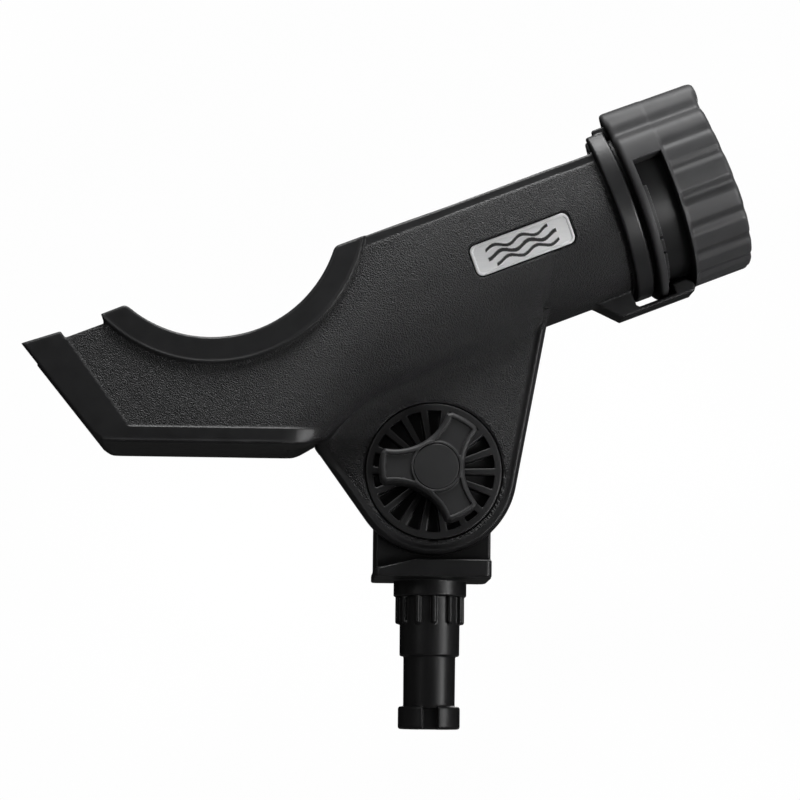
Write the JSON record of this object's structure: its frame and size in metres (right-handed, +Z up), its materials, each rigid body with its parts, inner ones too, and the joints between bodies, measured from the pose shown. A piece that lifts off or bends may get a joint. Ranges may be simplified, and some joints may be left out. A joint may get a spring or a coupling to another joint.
{
  "type": "adjustable fishing rod holder",
  "caption": "Open-cradle fishing rod holder with a turning lock ring, a toothed tilt joint tightened by a three-lobe knob, and a splined swivel post.",
  "frame": {"origin": "on the post axis, at the underside of the head block, where the block rests on its socket", "axes": "+Z up along the post; +X toward the lock ring end of the tube; -Y toward the knob side, the side the knob is turned from"},
  "size_m": [0.2614, 0.0766, 0.2329],
  "materials": {
    "nylon_textured": "black glass-filled nylon, moulded leather-grain flats with smooth satin bands",
    "nylon_ring": "satin black moulded nylon, fluted grip",
    "nylon_post": "satin black moulded nylon",
    "nylon_disc": "satin black moulded nylon, open spokes",
    "stainless_bolt": "plain stainless steel",
    "stainless_washer": "plain stainless steel, stamped",
    "nylon_knob": "fine-sparked black moulded nylon",
    "brass_insert": "turned brass",
    "nylon_cap": "fine-sparked black moulded nylon",
    "badge_face": "satin silver plate with a dark border, no lettering"
  },
  "bodies": {
    "base": {"post": "nylon_post"},
    "cradle": {"cradle_body": "nylon_textured", "pivot_bolt": "stainless_bolt", "badge_near": "badge_face", "badge_far": "badge_face"},
    "ring": {"lock_ring": "nylon_ring"},
    "clamp": {"clutch_disc": "nylon_disc", "knob_washer": "stainless_washer"},
    "knob": {"knob": "nylon_knob", "knob_insert": "brass_insert", "knob_cap": "nylon_cap"}
  },
  "joints": [
    {"name": "tilt", "type": "hinge", "parent": "base", "child": "cradle", "pos_m": [0, 0, 0.0375], "axis": [0, -1, 0], "range_deg": [-75, 60]},
    {"name": "ring_turn", "type": "hinge", "parent": "cradle", "child": "ring", "pos_m": [-0.03812, 0, 0.09676], "axis": [0.9304, 0, 0.3665], "range_deg": [0, 90]},
    {"name": "clamp_slide", "type": "slide", "parent": "cradle", "child": "clamp", "axis": [0, 1, 0], "range_m": [0, 0.00187]},
    {"name": "knob_turn", "type": "hinge", "parent": "clamp", "child": "knob", "pos_m": [0, -0.03, 0.0375], "axis": [0, 1, 0], "range_deg": [0, 540.5]}
  ],
  "couplings": [
    {"joint": "knob_turn", "follows": "clamp_slide", "rad_per_m": 5026.5}
  ]
}
